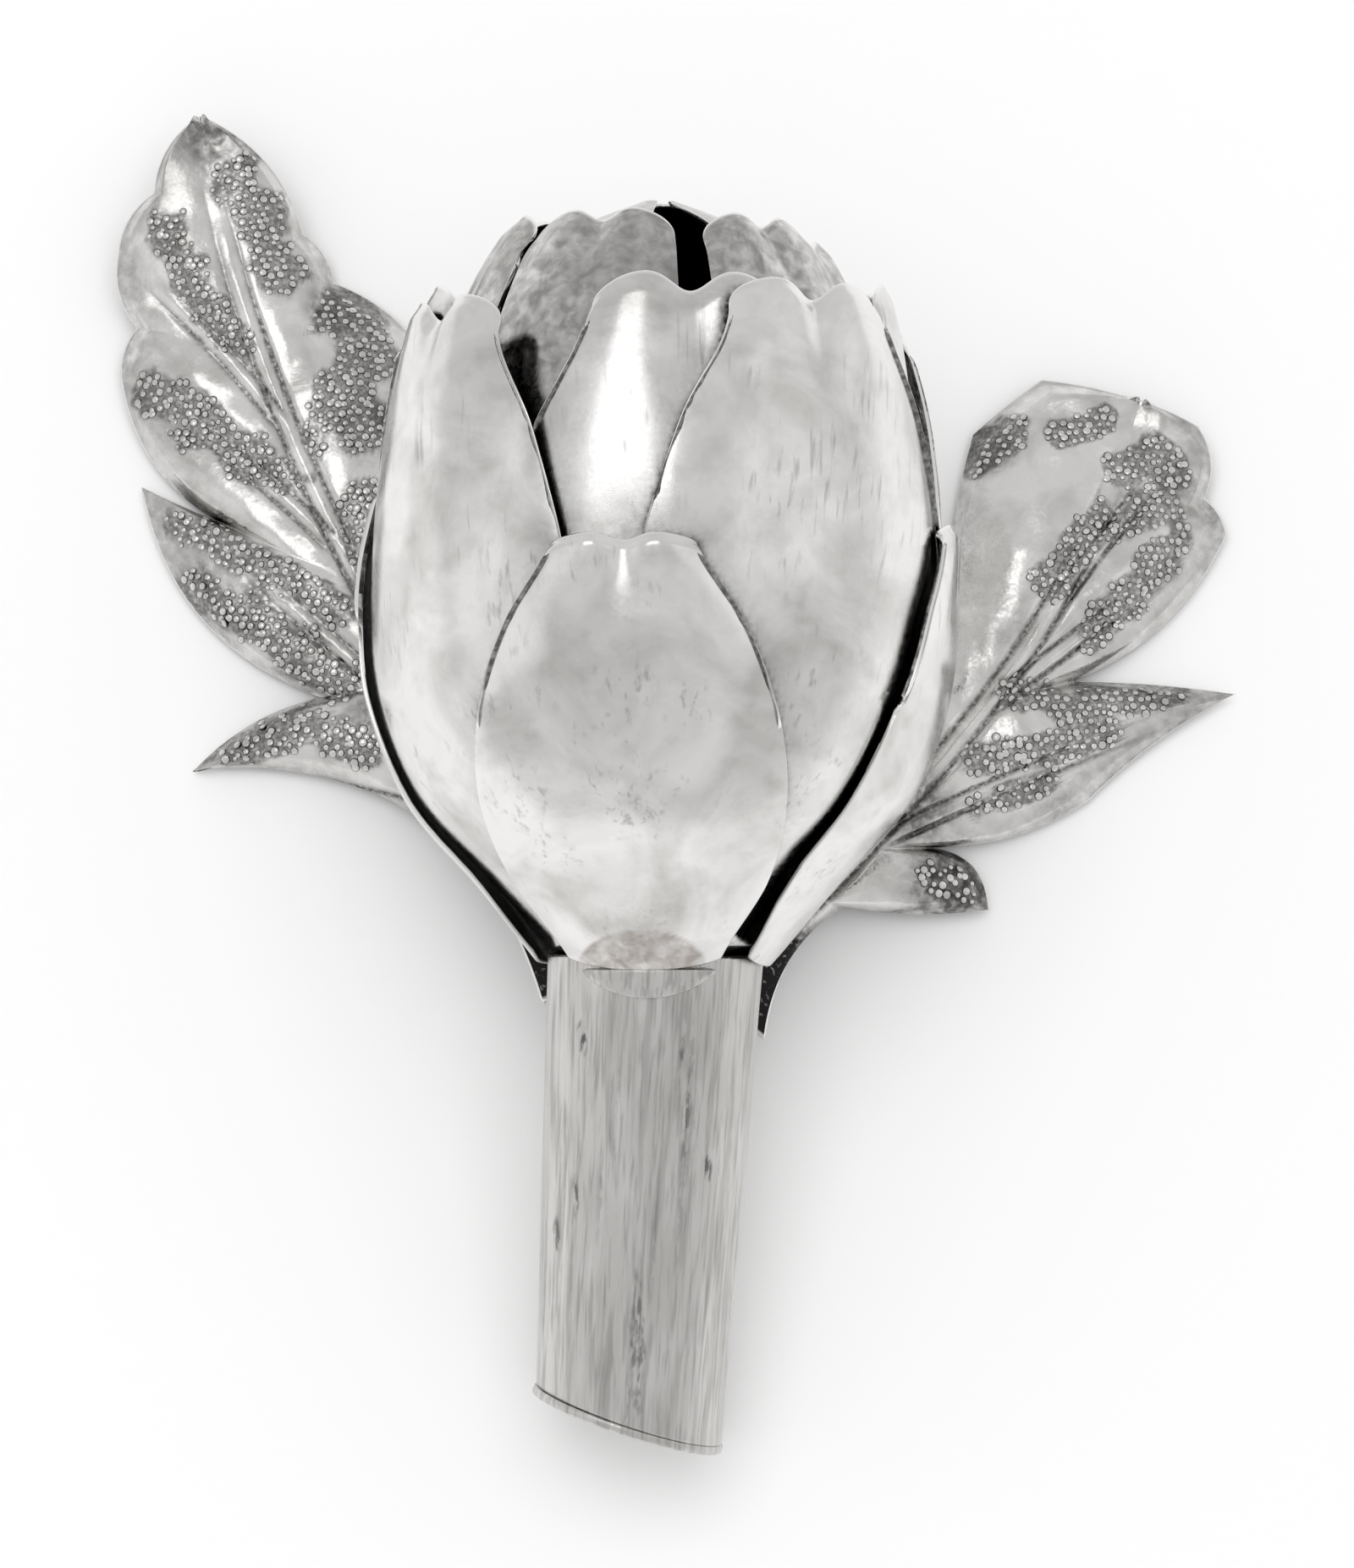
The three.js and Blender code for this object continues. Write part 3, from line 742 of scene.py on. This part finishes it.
def leaf_edge(plan, side, share):
    """Points of one edge of a leaf, in x and z, at these shares of the midrib's length."""
    midrib = plan["midrib"]
    sign = -1 if side == "left" else 1

    def beside(here, there, middle, gap):
        along = np.subtract(there, here) / math.dist(here, there)
        return middle[0] + sign * gap * along[1], middle[1] - sign * gap * along[0]

    root = beside(midrib[0], midrib[1], midrib[0], plan["root_half_width"])
    tip = beside(midrib[2], midrib[3], midrib[3], SHEET)
    corners = [(*root, 0, 0)] + [stop[:4] for stop in plan[side]] + [(*tip, plan["tip_bulge"], 1)]
    found = np.zeros((len(share), 2))
    for one, two in zip(corners, corners[1:]):
        inside = (share >= one[3] - 1e-9) & (share <= two[3] + 1e-9)
        t = ((share[inside] - one[3]) / (two[3] - one[3]))[:, None]
        start, end = np.array(one[:2], float), np.array(two[:2], float)
        chord = end - start
        middle = (start + end) / 2 + np.array([chord[1], -chord[0]]) * 2 * two[2] * sign
        found[inside] = (1 - t) ** 2 * start + 2 * (1 - t) * t * middle + t**2 * end
    return found


def leaf_shares(plan):
    feet = sorted({0, 1, *[s[3] for s in plan["left"]], *[s[3] for s in plan["right"]]})
    shares = [0.0]
    for low, high in zip(feet, feet[1:]):
        steps = max(2, round((high - low) * LEAF_ROWS))
        shares += [low + (high - low) * k / steps for k in range(1, steps + 1)]
    return np.array(shares)


def leaf_place(plan, share, across):
    """x and z of points on the leaf's plan."""
    middle = bezier(plan["midrib"], share)
    left, right = leaf_edge(plan, "left", share), leaf_edge(plan, "right", share)
    edge = np.where(across[None, :, None] < 0, left[:, None], right[:, None])
    return middle[:, None] + (edge - middle[:, None]) * np.abs(across)[None, :, None]


def leaf_veins(plan):
    """Each side vein as a run of x, z points from the midrib towards its lobe's tip."""
    veins = []
    for side in ("left", "right"):
        for x, z, _, foot, is_tip in plan[side]:
            if is_tip:
                start = bezier(plan["midrib"], max(0.06, foot - 0.17))
                lean = bezier(plan["midrib"], max(0.1, foot - 0.08))
                run = np.linspace(0, 0.9, 60)[:, None]
                end = np.array([x, z], float)
                middle = start * 0.2 + end * 0.35 + lean * 0.45
                veins.append((1 - run) ** 2 * start + 2 * (1 - run) * run * middle + run**2 * end)
    return veins


def distance_to(points, line):
    gaps = np.linalg.norm(points[..., None, :] - line, axis=-1)
    return gaps.min(-1), gaps.argmin(-1) / (len(line) - 1)


def leaf_relief(plan, place):
    """Height of the chased veins and of the puffed fields between them, and dark grooves."""
    midrib = bezier(plan["midrib"], np.linspace(0.0, 0.97, 160))
    lines = [(midrib, MIDRIB_HEIGHT, MIDRIB_WIDTH, 0.12, 0.8)]
    lines += [(vein, VEIN_HEIGHT, VEIN_WIDTH, 0.1, 0.6) for vein in leaf_veins(plan)]
    height = np.zeros(place.shape[:2])
    dark = np.zeros(place.shape[:2])
    closeness = np.zeros(place.shape[:2])
    for line, tall, wide, starts, ends in lines:
        gap, along = distance_to(place, line)
        strength = ease(0.4 * starts, 1.6 * starts, along) * (1 - ease(ends, 1, along))
        groove = np.exp(-(((gap - 1.9 * wide) / (0.55 * wide)) ** 2))
        height += strength * (tall * np.exp(-((gap / wide) ** 2)) - GROOVE_DEPTH * groove)
        dark = np.maximum(dark, GROOVE_DARK * strength * groove)
        closeness += (gap + 0.3) ** -4.0
    soft_gap = closeness**-0.25
    height += PILLOW_HEIGHT * (1 - np.exp(-((soft_gap / PILLOW_REACH) ** 2)))
    return height, dark


def outward(x, z):
    """Where a point of a leaf is, to a tenth, from where it seems to be level with the axis."""
    return (round(AIM_X + (x - AIM_X) / LEAF_SEEMS, 1),
            round(AIM_HEIGHT + (z - AIM_HEIGHT) / LEAF_SEEMS, 1))


def band_share(place, bands, seed):
    """1 inside the punched bands and 0 outside them, with uneven borders."""
    found = np.zeros(place.shape[:-1])
    for half_width, line in bands:
        middle = spline([outward(x, z) for x, z in line], np.linspace(0, 1, 40))
        gap, _ = distance_to(place, middle)
        uneven = BAND_RAGGED * smooth_noise(place[..., 0] / 2.0, place[..., 1] / 2.0, seed)
        found = np.maximum(found, 1 - ease(0.85, 1.1, gap / (BAND_SPREAD * half_width) + uneven))
    return found


def leaf_front(plan, share, across, seed):
    place = leaf_place(plan, share, across)
    lift_middle, lift_edge = through(plan["midrib_lift"], share), through(plan["edge_lift"], share)
    lift = lift_middle[:, None] + (lift_edge - lift_middle)[:, None] * across[None] ** 2
    relief, dark = leaf_relief(plan, place)
    ripple = RIPPLE * smooth_noise(place[..., 0] / 5, place[..., 1] / 5, seed)
    border = 1 - ease(0.86, 1, np.abs(across))[None]
    ruffle = 0.5 + 0.5 * smooth_noise(place[..., 0] / 6, place[..., 1] / 6, seed + 1, 1)
    ruffle = RUFFLE * np.clip(ruffle, 0, 1) * np.abs(across)[None] ** 3
    body = ease(0.08, 0.25, share)[:, None]
    lift = lift + body * ((relief + ripple) * border + ruffle)
    depth = table_depth(place[..., 1]) - lift - SHEET - JOINT
    return np.stack([place[..., 0], depth, place[..., 1]], -1), dark * body


def dome_body():
    """A lens of unit radius and height, as points and faces."""
    turns = np.arange(DOME_SIDES) * 2 * math.pi / DOME_SIDES
    ring = np.stack([np.cos(turns), np.sin(turns), 0 * turns], -1)
    levels = [(0.62, 0.82), (1.0, 0.0), (0.6, -0.8)]
    points = [[(0, 0, 1)]] + [ring * (r, r, 0) + (0, 0, h) for r, h in levels] + [[(0, 0, -1)]]
    last = 1 + len(levels) * DOME_SIDES
    faces = []
    for k in range(DOME_SIDES):
        n = (k + 1) % DOME_SIDES
        faces.append((0, 1 + k, 1 + n))
        for level in range(len(levels) - 1):
            a = 1 + level * DOME_SIDES
            faces.append((a + k, a + DOME_SIDES + k, a + DOME_SIDES + n, a + n))
        b = 1 + (len(levels) - 1) * DOME_SIDES
        faces.append((b + k, last, b + n))
    return np.concatenate([np.asarray(p, float) for p in points]), faces


def add_domes(front, across, bands, seed):
    """Small punched domes on the leaf's face, as points, faces and how dark each point is."""
    rng = np.random.default_rng(seed)
    flat = front.reshape(-1, 3)
    normals = grid_normals(front, np.array([0, -1, 0.0])).reshape(-1, 3)
    edge_share = np.broadcast_to(np.abs(across), front.shape[:2]).ravel()
    tree = KDTree(len(flat))
    for number, place in enumerate(flat):
        tree.insert((place[0], 0, place[2]), number)
    tree.balance()
    low, high = flat.min(0), flat.max(0)
    unit, unit_faces = dome_body()
    points, faces, dark = [], [], []
    rows = int((high[2] - low[2]) / (DOME_ROW_STEP * DOME_SPACING))
    columns = int((high[0] - low[0]) / DOME_SPACING)
    spots = np.array([
        (low[0] + (c + 0.5 * (r % 2)) * DOME_SPACING, low[2] + r * DOME_ROW_STEP * DOME_SPACING)
        for r in range(rows) for c in range(columns)
    ])
    spots += rng.uniform(-DOME_JITTER, DOME_JITTER, spots.shape)
    spots = spots[band_share(spots, bands, seed) > 0.4]
    for x, z in spots:
        _, number, gap = tree.find((x, 0, z))
        if gap > 1 or edge_share[number] > DOME_EDGE or rng.uniform() < DOME_GAPS:
            continue
        normal = normals[number]
        depth = flat[number][1] - (normal[0] * (x - flat[number][0])
                                   + normal[2] * (z - flat[number][2])) / normal[1]
        side = np.cross(normal, (0, 0, 1.0))
        side /= np.linalg.norm(side)
        size = rng.uniform(*DOME_SIZES)
        scaled = unit * (size * DOME_RADIUS, size * DOME_RADIUS, DOME_HEIGHT)
        turned = scaled @ np.stack([side, np.cross(normal, side), normal])
        first = len(points) * len(unit)
        points.append(turned + (x, depth, z))
        faces += [tuple(first + i for i in face) for face in unit_faces]
        heading = rng.uniform(0, 2 * math.pi)
        crescent = 0.6 + 0.6 * np.cos(np.arctan2(unit[:, 1], unit[:, 0]) - heading)
        dark.append(np.where(unit[:, 2] > 0.5, rng.uniform(0, 0.5) ** 2, crescent))
    return np.concatenate(points), faces, np.concatenate(dark)


def build_leaf(plan, bands, stains, seed):
    share = leaf_shares(plan)
    across = 2 * with_borders(LEAF_COLUMNS, 0.003) - 1
    front, dark = leaf_front(plan, share, across, seed)
    points, faces, loop = sheet_body(front, SHEET, np.array([0, -1, 0.0]))
    place = front[..., [0, 2]]
    count = front.shape[0] * front.shape[1]
    punched = band_share(place, bands, seed)
    # Painted shadow at the root and painted shade on the back, over the oxide in the grooves and
    # punched bands.
    root = ROOT_SHADOW * (1 - ease(0.1, 0.22, share))[:, None] + 0 * dark
    oxide_and_shade = spread(np.maximum(np.maximum(dark, BAND_DARK * punched), root), loop)
    oxide_and_shade[count:2 * count] = LEAF_BACK_SHADE
    cloud = np.zeros(front.shape[:2])
    for x, z, radius, level in stains:
        gap = np.hypot(place[..., 0] - x, place[..., 1] - z)
        cloud = np.maximum(cloud, level * (1 - ease(0.4, 1.15, gap / radius)))
    margin = MARGIN_CLOUD * ease(0.55, 1.0, np.abs(across))[None]
    margin = margin * (0.6 + 0.4 * smooth_noise(place[..., 0] / 6, place[..., 1] / 6, seed + 2))
    cloud = spread(np.clip(np.maximum(cloud, margin), 0, 1), loop)
    rim = rim_share(loop, count)
    dome_points, dome_faces, dome_dark = add_domes(front, across, bands, seed)
    faces += [tuple(i + len(points) for i in face) for face in dome_faces]
    points = np.concatenate([points, dome_points])
    pad = np.zeros(len(dome_points))
    attributes = dict(oxide_and_shade=np.concatenate([oxide_and_shade, dome_dark]), cloud=np.concatenate([cloud, pad]),
                      rim=np.concatenate([rim, pad]))
    name = plan["name"]
    make_piece(name + "_sheet", points, faces, attributes, CHASED, name)


build_leaf(LEFT_LEAF, LEFT_BANDS, LEFT_STAINS, 101)
build_leaf(RIGHT_LEAF, RIGHT_BANDS, RIGHT_STAINS, 102)

# ---- Stem, end plate, receptacle, fillet and bud ----------------------------------------------

STEM_SIDES = 360
STEM_ROWS = 150
TURNED_SIDES = 72
PLATE_SIDES = 96
BARK_STROKES = 70
# Painted shade on the inside of the stem tube and on the receptacle under the bracts.
INNER_SHADE, RECEPTACLE_SHADE = 0.6, 0.4

# Dark pits and a stain on the stem's front: x, z, half width, half height and how dark.
STEM_STAINS = [(-11, -12, 0.8, 3, 0.8), (-12, -36, 0.7, 3.5, 0.7), (8, -32, 0.6, 2.6, 0.7),
               (-15, -42, 0.5, 3, 0.6), (-2.6, -59, 1.3, 9.6, 0.55), (4, -14, 0.5, 3, 0.6)]


def turned_body(outline, sides, place):
    """A body turned round the axis from an outline, as points and faces.

    place maps radius, azimuth and height to points.
    """
    outline = np.asarray(outline, float)
    azimuth = np.linspace(0, 360, sides, endpoint=False)
    radius, height = outline[:, 0], outline[:, 1]
    points = place(np.repeat(radius[:, None], sides, 1), azimuth[None] + 0 * radius[:, None],
                   np.repeat(height[:, None], sides, 1)).reshape(-1, 3)
    faces = []
    for ring in range(len(outline) - 1):
        for side in range(sides):
            a = ring * sides + side
            b = ring * sides + (side + 1) % sides
            faces.append((a, b, b + sides, a + sides))
    return points, faces


def upright(radius, azimuth, height):
    """Points around the straight axis that the receptacle and the bud are turned on."""
    angle = np.radians(azimuth)
    return np.stack([radius * np.sin(angle), -radius * np.cos(angle), height], -1)


def clean(piece):
    """Merges the points that lie on the axis and drops faces without area."""
    work = bmesh.new()
    work.from_mesh(piece.data)
    bmesh.ops.remove_doubles(work, verts=work.verts, dist=1e-6)
    bmesh.ops.dissolve_degenerate(work, edges=work.edges, dist=1e-7)
    bmesh.ops.recalc_face_normals(work, faces=work.faces)
    work.to_mesh(piece.data)
    work.free()


def stem_end_height(x):
    return STEM_END - math.tan(math.radians(STEM_END_SLANT)) * (x - axis_x(STEM_END))


def build_stem():
    azimuth = np.linspace(0, 360, STEM_SIDES, endpoint=False)
    share = np.linspace(0, 1, STEM_ROWS)
    a, s = np.meshgrid(azimuth, share)
    radius = STEM_TOP_RADIUS + (STEM_END_RADIUS - STEM_TOP_RADIUS) * s
    angle = np.radians(a)
    rng = np.random.default_rng(5)
    bark = np.zeros_like(a)
    for _ in range(BARK_STROKES):
        centre, top, tall = rng.uniform(0, 360), rng.uniform(-0.1, 0.9), rng.uniform(0.12, 0.5)
        wide, deep = rng.uniform(0.8, 2.2), rng.uniform(0.04, 0.16)
        apart = (a - centre + 180 + 1.5 * np.sin(6 * s + centre)) % 360 - 180
        inside = np.exp(-((s - top - tall / 2) / (tall / 2)) ** 4)
        bark -= deep * np.exp(-((apart / wide) ** 2)) * inside
    bark += 0.08 * smooth_noise(angle * 9, s * 5, 6)
    fade = ease(0, 0.02, s) * (1 - ease(0.98, 1, s))
    outer = radius + bark * fade
    lowest = stem_end_height(axis_x(STEM_END) + STEM_END_RADIUS * np.sin(angle))
    height = STEM_TOP + (lowest - STEM_TOP) * s
    wall = around(outer, a, height)
    inner = around(radius - STEM_WALL, a, height)[::-1]
    grid = np.concatenate([wall, inner])
    rows = grid.shape[0]
    number = np.arange(rows * STEM_SIDES).reshape(rows, STEM_SIDES)
    following = np.roll(number, -1, axis=0)
    faces = np.stack([number, np.roll(number, -1, 1), np.roll(following, -1, 1), following], -1)
    spots = np.zeros_like(a)
    for x, z, half_x, half_z, level in STEM_STAINS:
        uneven = 0.35 * smooth_noise(wall[..., 0] * 1.6, height * 0.8, 7)
        gap = np.hypot((wall[..., 0] - x) / half_x, (height - z) / half_z) + uneven
        spots = np.maximum(spots, level * (1 - ease(0.5, 1.2, gap)) * (wall[..., 1] < 0))
    front_dark = np.maximum(np.clip(-bark * 2.2 - 0.1, 0, 0.7) * fade, spots)
    # Oxide in the bark's grooves and pits outside; painted shade on the tube's inside.
    attributes = dict(oxide_and_shade=np.concatenate([front_dark, np.full_like(a, INNER_SHADE)]).ravel())
    piece = make_piece("stem_tube_wall", grid.reshape(-1, 3), faces.reshape(-1, 4).tolist(),
                       attributes, SATIN, "stem_tube")
    clean(piece)


def build_end_plate():
    slant = math.radians(STEM_END_SLANT)
    turn = np.array(Matrix.Rotation(slant, 3, "Y"))
    place = np.array([axis_x(STEM_END), 0, STEM_END - PLATE_GAP / math.cos(slant)])

    def tilted(radius, azimuth, height):
        angle = np.radians(azimuth)
        flat = np.stack([radius * np.sin(angle) / math.cos(slant), -radius * np.cos(angle), height], -1)
        return flat @ turn.T + place

    r, t = STEM_END_RADIUS, END_PLATE + JOINT - PLATE_GAP
    outline = [(0, -t), (r * 0.5, -t), (r - 0.5, -t), (r - 0.2, -t + 0.08), (r - 0.02, -t + 0.3),
               (r, -t / 2), (r - 0.02, -0.3), (r - 0.2, -0.08), (r - 0.5, 0), (0, 0)]
    points, faces = turned_body(outline, PLATE_SIDES, tilted)
    attributes = dict(oxide_and_shade=np.zeros(len(points)))
    piece = make_piece("stem_end_plate_disc", points, faces, attributes, SATIN,
                       "stem_end_plate")
    clean(piece)


def build_receptacle():
    r, top = RECEPTACLE_RADIUS, RECEPTACLE_TOP
    low = top - RECEPTACLE_HEIGHT
    outline = [(0, low), (r - 1, low), (r - 0.3, low + 0.3), (r, low + 1), (r, top - 0.3),
               (r - 0.3, top), (0, top)]
    points, faces = turned_body(outline, TURNED_SIDES, upright)
    # The receptacle is darkened all over as painted shade under the bracts.
    attributes = dict(oxide_and_shade=np.full(len(points), RECEPTACLE_SHADE))
    piece = make_piece("receptacle_disc", points, faces, attributes, SATIN,
                       "receptacle")
    clean(piece)


def build_fillet():
    u, v = np.meshgrid(np.linspace(-1, 1, 41), np.linspace(0, 1, 13))
    drop = 0.4 + FILLET_DROP * (1 - u * u)
    radius = STEM_TOP_RADIUS + JOINT + FILLET_THICKNESS * (0.35 + 0.65 * np.sin(math.pi * v * 0.5))
    top = FILLET_TOP + FILLET_RISE * (1 - 0.3 * u * u)
    front = around(radius, FILLET_AZIMUTH + u * FILLET_HALF_ANGLE, top - (drop + FILLET_RISE) * (1 - v))
    points, faces, loop = sheet_body(front, FILLET_THICKNESS * 0.7, front * [1, 1, 0])
    attributes = dict(oxide_and_shade=np.zeros(len(points)))
    make_piece("solder_fillet_run", points, faces, attributes, SATIN,
               "solder_fillet")


def build_bud():
    wall = spline(BUD_PROFILE, np.linspace(0, 1, 40))
    inside = wall[::-1] - [SHEET, SHEET / 2]
    inside[-1, 1] = wall[0, 1]
    top = wall[-1, 1] + SHEET
    outline = np.concatenate([wall, [(0, top), (0, top - 1.5 * SHEET)], inside, wall[:1]])
    points, faces = turned_body(outline, TURNED_SIDES, upright)
    piece = make_piece("inner_bud_shell", points, faces, {}, OXIDISED,
                       "inner_bud")
    clean(piece)


build_stem()
build_end_plate()
build_receptacle()
build_fillet()
build_bud()

# ---- Table, lights and camera -------------------------------------------------------------------

CAMERA_DISTANCE = 669
CAMERA_LENS = 100
TABLE_HALF_WIDTH = 3.0
TABLE_WHITE = 0.93
HORIZON, ZENITH = 0.74, 0.68

# Each light: place, target, size in metres, radiance, and whether reflections show it.
BULB_PLACE = (0, 0, 0.04)
LIGHTS = dict(
    table_light=((0, 0, 2.0), BULB_PLACE, (2.0, 2.0), 1.35, False),
    top_panel=((-0.31, 0.22, 1.1), (-0.31, 0.22, 0), (0.62, 0.56), 0.9, True),
    left_panel=((-0.9, -0.1, 0.45), BULB_PLACE, (0.5, 0.7), 0.16, True),
    right_panel=((0.75, 0.1, 0.6), BULB_PLACE, (0.4, 0.8), 0.16, True),
)


def build_stage():
    mesh = bpy.data.meshes.new("table_top")
    half = TABLE_HALF_WIDTH
    mesh.from_pydata([(-half, -half, 0), (half, -half, 0), (half, half, 0), (-half, half, 0)], [],
                     [(0, 1, 2, 3)])
    table = bpy.data.objects.new("table_top", mesh)
    bpy.context.scene.collection.objects.link(table)
    material = bpy.data.materials.new("pale_table")
    material.use_nodes = True
    shader = material.node_tree.nodes["Principled BSDF"]
    shader.inputs["Base Color"].default_value = (TABLE_WHITE, TABLE_WHITE, TABLE_WHITE, 1)
    shader.inputs["Roughness"].default_value = 0.9
    mesh.materials.append(material)


def add_light(name, place, target, size, radiance, in_reflections):
    light = bpy.data.lights.new(name, "AREA")
    light.shape = "RECTANGLE"
    light.size, light.size_y = size
    light.energy = math.pi * radiance * size[0] * size[1]
    lamp = bpy.data.objects.new(name, light)
    lamp.location = place
    lamp.rotation_mode = "QUATERNION"
    lamp.rotation_quaternion = (Vector(target) - Vector(place)).to_track_quat("-Z", "Y")
    lamp.visible_glossy = in_reflections
    bpy.context.scene.collection.objects.link(lamp)


def build_lights():
    world = bpy.data.worlds.new("studio")
    world.use_nodes = True
    tree = world.node_tree
    place = tree.nodes.new("ShaderNodeTexCoord")
    split = tree.nodes.new("ShaderNodeSeparateXYZ")
    tree.links.new(place.outputs["Generated"], split.inputs[0])
    sky = ramp(tree, split.outputs["Z"], (0.0, HORIZON), (0.9, ZENITH))
    tree.links.new(sky, tree.nodes["Background"].inputs[0])
    bpy.context.scene.world = world
    bpy.context.scene.view_settings.view_transform = "Standard"
    for name, plan in LIGHTS.items():
        add_light(name, *plan)


def build_camera():
    camera = bpy.data.cameras.new("camera")
    camera.lens = CAMERA_LENS
    camera.clip_start, camera.clip_end = 0.05, 10
    eye = bpy.data.objects.new("camera", camera)
    aim = to_frame([(AIM_X, 0, AIM_HEIGHT)])[0]
    place = to_frame([(AIM_X, -CAMERA_DISTANCE, AIM_HEIGHT)])[0]
    eye.location = place
    eye.rotation_mode = "QUATERNION"
    eye.rotation_quaternion = Vector(aim - place).to_track_quat("-Z", "Y")
    bpy.context.scene.collection.objects.link(eye)
    bpy.context.scene.camera = eye


build_stage()
build_lights()
build_camera()
